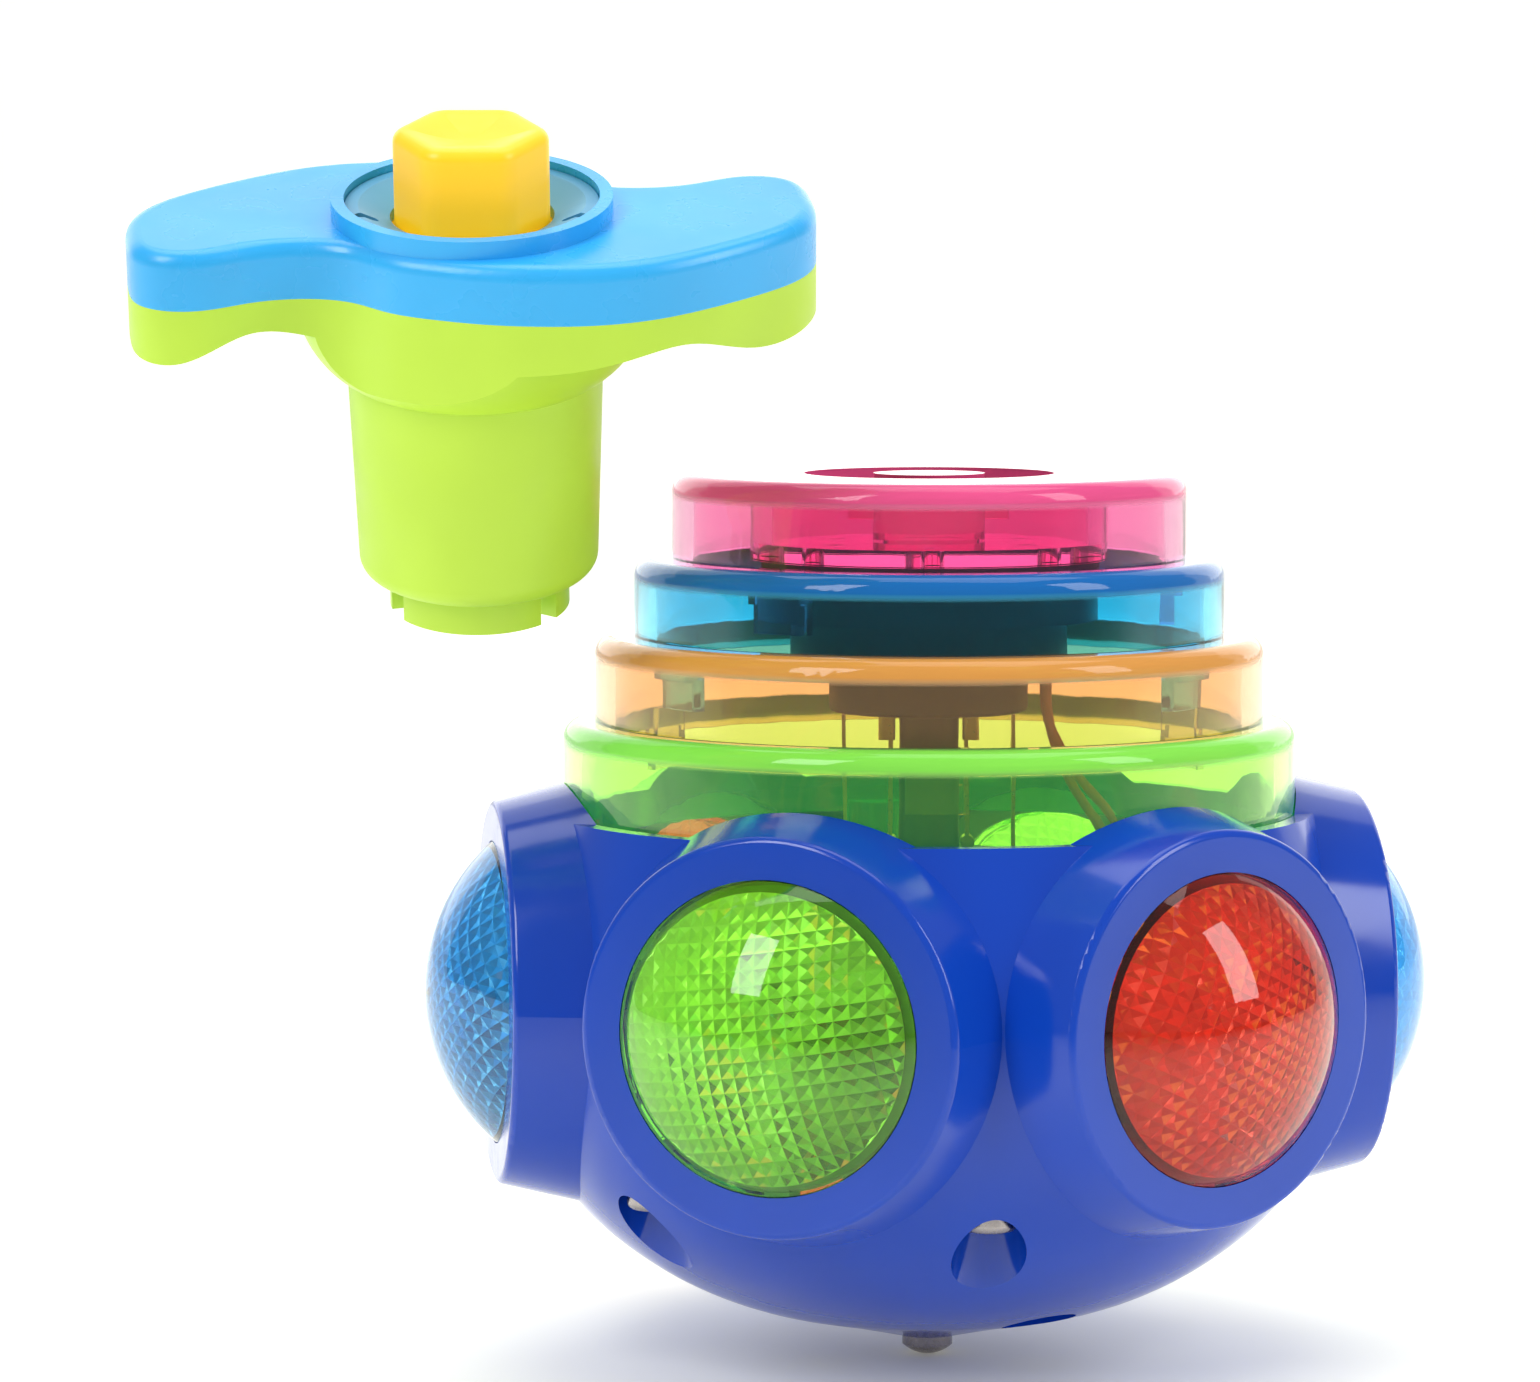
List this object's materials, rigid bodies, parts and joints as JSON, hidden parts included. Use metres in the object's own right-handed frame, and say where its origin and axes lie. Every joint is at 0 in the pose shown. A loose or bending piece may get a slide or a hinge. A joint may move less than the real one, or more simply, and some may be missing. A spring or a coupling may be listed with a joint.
{
  "type": "light-up spinning top",
  "caption": "Light-up musical spinning top with domed lenses and stacked clear tiers, and its wind-up hand launcher with a push button.",
  "frame": {"origin": "the point of the steel tip, where the top meets the floor", "axes": "+Z is the top's spin axis, upwards; the front, with the green and red lenses, faces -Y"},
  "size_m": [0.1229, 0.094, 0.1208],
  "materials": {
    "bowl_blue": "glossy moulded plastic",
    "clear_lime": "clear tinted moulded plastic",
    "clear_orange": "clear tinted moulded plastic",
    "clear_blue": "clear tinted moulded plastic",
    "clear_pink": "clear tinted moulded plastic",
    "lens_green": "clear tinted, pyramid pattern inside",
    "lens_red": "clear tinted, pyramid pattern inside",
    "lens_blue": "clear tinted, pyramid pattern inside",
    "led_clear": "clear epoxy",
    "white_plastic": "moulded plastic",
    "black_plastic": "moulded plastic",
    "steel": "steel",
    "ferrite_black": "sintered ferrite",
    "nickel": "nickel plate",
    "brass": "brass strip",
    "board_green": "lacquered circuit board",
    "paper_black": "pressed paper cone",
    "foam_black": "foam ring",
    "wire_orange": "insulated wire",
    "wire_red": "insulated wire",
    "handle_blue": "glossy moulded plastic",
    "handle_lime": "satin moulded plastic",
    "button_yellow": "glossy moulded plastic",
    "dish_teal": "satin moulded plastic"
  },
  "bodies": {
    "launcher": {"handle_top": "handle_blue", "handle_bottom": "handle_lime", "button_dish": "dish_teal", "handle_screws": "nickel", "spring_seat": "white_plastic", "power_spring": "steel", "coupler_washer": "steel", "return_spring": "steel"},
    "button": {"launch_button": "button_yellow", "plunger_rod": "steel"},
    "coupler": {"drive_coupler": "handle_lime", "spring_arbor": "steel"},
    "top": {"lower_bowl": "bowl_blue", "battery_cover": "bowl_blue", "tier_lime": "clear_lime", "tier_orange": "clear_orange", "tier_blue": "clear_blue", "tier_pink": "clear_pink", "case_screws": "nickel", "battery_cover_screws": "nickel", "board_screws": "nickel", "cover_contact": "nickel", "button_cells": "steel", "battery_contacts": "nickel", "steel_tip": "nickel", "battery_holder": "black_plastic", "circuit_board": "board_green", "sound_chip": "black_plastic", "centre_post": "black_plastic", "switch_contacts": "brass", "speaker_frame": "black_plastic", "speaker_cone": "paper_black", "speaker_magnet": "ferrite_black", "speaker_gasket": "foam_black", "speaker_wires": "wire_orange", "led_wires": "wire_red", "lens_front_green": "lens_green", "lens_retainer_front_green": "white_plastic", "led_front_green": "led_clear", "lens_front_red": "lens_red", "lens_retainer_front_red": "white_plastic", "led_front_red": "led_clear", "lens_right_blue": "lens_blue", "lens_retainer_right_blue": "white_plastic", "led_right_blue": "led_clear", "lens_rear_green": "lens_green", "lens_retainer_rear_green": "white_plastic", "led_rear_green": "led_clear", "lens_rear_red": "lens_red", "lens_retainer_rear_red": "white_plastic", "led_rear_red": "led_clear", "lens_left_blue": "lens_blue", "lens_retainer_left_blue": "white_plastic", "led_left_blue": "led_clear"},
    "arm_right": {"switch_arm_right": "brass"},
    "arm_left": {"switch_arm_left": "brass"}
  },
  "joints": [
    {"name": "button_press", "type": "slide", "parent": "launcher", "child": "button", "axis": [0, 0.3256, -0.9455], "range_m": [0, 0.0042], "stiffness_N_per_m": 250, "deforming": ["return_spring"]},
    {"name": "coupler_wind", "type": "hinge", "parent": "launcher", "child": "coupler", "pos_m": [-0.0426, -0.02349, 0.08744], "axis": [0, -0.3256, 0.9455], "range_deg": [-1080, 0]},
    {"name": "top_spin", "type": "hinge", "parent": "launcher", "child": "top", "pos_m": [0, 0, 0], "axis": [0, 0, 1], "continuous": true},
    {"name": "switch_right", "type": "hinge", "parent": "top", "child": "arm_right", "pos_m": [0.0037, 0, 0.0504], "axis": [0, 1, 0], "range_deg": [0, 10], "stiffness_Nm_per_rad": 0.002},
    {"name": "switch_left", "type": "hinge", "parent": "top", "child": "arm_left", "pos_m": [-0.0037, 0, 0.0504], "axis": [0, -1, 0], "range_deg": [0, 10], "stiffness_Nm_per_rad": 0.002}
  ]
}
